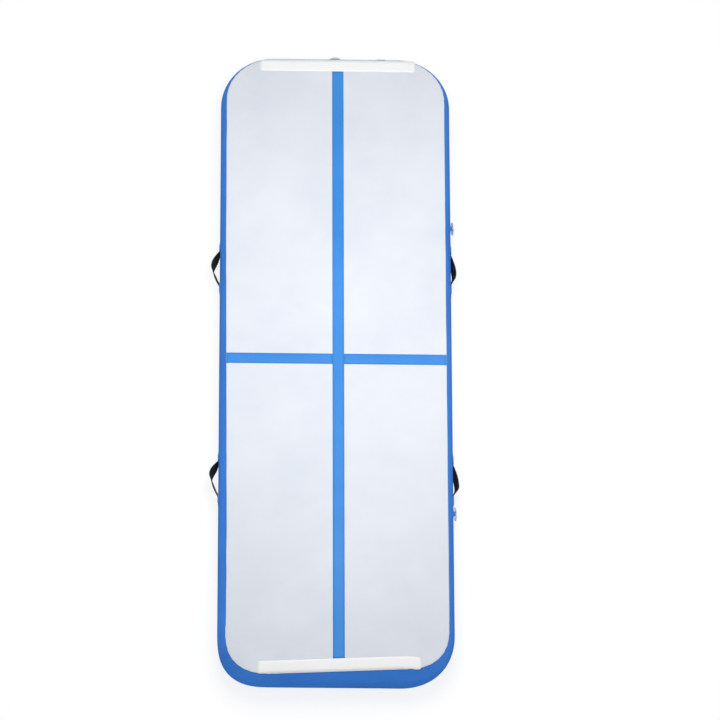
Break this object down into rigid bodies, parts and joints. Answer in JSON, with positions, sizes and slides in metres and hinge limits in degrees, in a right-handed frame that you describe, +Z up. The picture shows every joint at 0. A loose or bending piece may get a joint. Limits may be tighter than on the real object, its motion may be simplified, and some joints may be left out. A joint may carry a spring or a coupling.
{
  "type": "air track mat",
  "caption": "Long inflatable tumbling mat: flat drop-stitch body, bulging coated-fabric side wall, webbing carrying handles, steel tie rings and a push-button air valve.",
  "frame": {"origin": "centre of the mat's underside, on the floor", "axes": "+Z up; +Y along the mat towards the end with the air valve; +X across the mat towards the side with the tie rings"},
  "size_m": [1.0705, 3.0202, 0.1504],
  "materials": {
    "panel_pvc": "satin",
    "wall_pvc": "satin",
    "patch_pvc": "satin",
    "drop_stitch": "matte",
    "line_film": "satin",
    "strip_film": "satin",
    "webbing": "matte",
    "ring_steel": "polished",
    "seal_rubber": "matte",
    "spring_steel": "satin",
    "tether_plastic": "satin",
    "button_plastic": "satin",
    "valve_plastic": "satin"
  },
  "bodies": {
    "root": {"bottom_skin": "wall_pvc", "centre_line": "line_film", "cross_line_left": "line_film", "cross_line_right": "line_film", "drop_stitch_core": "drop_stitch", "end_strip_far": "strip_film", "end_strip_near": "strip_film", "handle_left_far_ends": "webbing", "handle_left_far_patch_a": "patch_pvc", "handle_left_far_patch_b": "patch_pvc", "handle_left_near_ends": "webbing", "handle_left_near_patch_a": "patch_pvc", "handle_left_near_patch_b": "patch_pvc", "handle_right_far_ends": "webbing", "handle_right_far_patch_a": "patch_pvc", "handle_right_far_patch_b": "patch_pvc", "handle_right_near_ends": "webbing", "handle_right_near_patch_a": "patch_pvc", "handle_right_near_patch_b": "patch_pvc", "tie_ring_far_patch": "patch_pvc", "tie_ring_far_sleeve": "patch_pvc", "tie_ring_near_patch": "patch_pvc", "tie_ring_near_sleeve": "patch_pvc", "top_skin": "panel_pvc", "valve_backing": "seal_rubber", "valve_body": "valve_plastic", "valve_gasket": "seal_rubber", "valve_nut": "valve_plastic", "valve_patch": "patch_pvc", "valve_spring": "spring_steel", "valve_tether_ring": "tether_plastic", "wall_inner_band": "wall_pvc", "wall_joint_strip": "wall_pvc", "wall_outer_band": "wall_pvc"},
    "handle_left_near": {"handle_left_near_loop": "webbing"},
    "handle_left_far": {"handle_left_far_loop": "webbing"},
    "handle_right_near": {"handle_right_near_loop": "webbing"},
    "handle_right_far": {"handle_right_far_loop": "webbing"},
    "tie_ring_near": {"tie_ring_near_loop": "ring_steel"},
    "tie_ring_far": {"tie_ring_far_loop": "ring_steel"},
    "tether": {"valve_tether_link": "tether_plastic"},
    "cap": {"valve_cap": "valve_plastic", "valve_cap_seal": "seal_rubber"},
    "plunger": {"valve_stem": "valve_plastic", "valve_seal": "seal_rubber", "valve_plate": "valve_plastic"},
    "button": {"valve_button": "button_plastic"}
  },
  "joints": [
    {"name": "handle_left_near_swing", "type": "hinge", "parent": "root", "child": "handle_left_near", "pos_m": [-0.52, -0.539, 0.06], "axis": [0, -1, 0], "range_deg": [-60, 43]},
    {"name": "handle_left_far_swing", "type": "hinge", "parent": "root", "child": "handle_left_far", "pos_m": [-0.52, 0.473, 0.06], "axis": [0, -1, 0], "range_deg": [-60, 43]},
    {"name": "handle_right_near_swing", "type": "hinge", "parent": "root", "child": "handle_right_near", "pos_m": [0.511, -0.539, 0.06], "axis": [0, 1, 0], "range_deg": [-41, 14]},
    {"name": "handle_right_far_swing", "type": "hinge", "parent": "root", "child": "handle_right_far", "pos_m": [0.511, 0.473, 0.06], "axis": [0, 1, 0], "range_deg": [-41, 14]},
    {"name": "tie_ring_near_swing", "type": "hinge", "parent": "root", "child": "tie_ring_near", "pos_m": [0.506, -0.696, 0.075], "axis": [0, -1, 0], "range_deg": [-20, 150]},
    {"name": "tie_ring_far_swing", "type": "hinge", "parent": "root", "child": "tie_ring_far", "pos_m": [0.506, 0.679, 0.075], "axis": [0, -1, 0], "range_deg": [-20, 150]},
    {"name": "cap_swing", "type": "hinge", "parent": "root", "child": "tether", "pos_m": [0, 1.5064, 0.0405], "axis": [-1, 0, 0], "range_deg": [0, 110]},
    {"name": "cap_turn", "type": "hinge", "parent": "tether", "child": "cap", "pos_m": [0, 1.512, 0.075], "axis": [0, 1, 0], "range_deg": [0, 90]},
    {"name": "valve_press", "type": "slide", "parent": "root", "child": "plunger", "axis": [0, -1, 0], "range_m": [0, 0.005], "stiffness_N_per_m": 500, "springref_m": -0.003, "deforming": ["valve_spring"]},
    {"name": "button_turn", "type": "hinge", "parent": "plunger", "child": "button", "pos_m": [0, 1.493, 0.075], "axis": [0, 1, 0], "range_deg": [0, 90]}
  ]
}
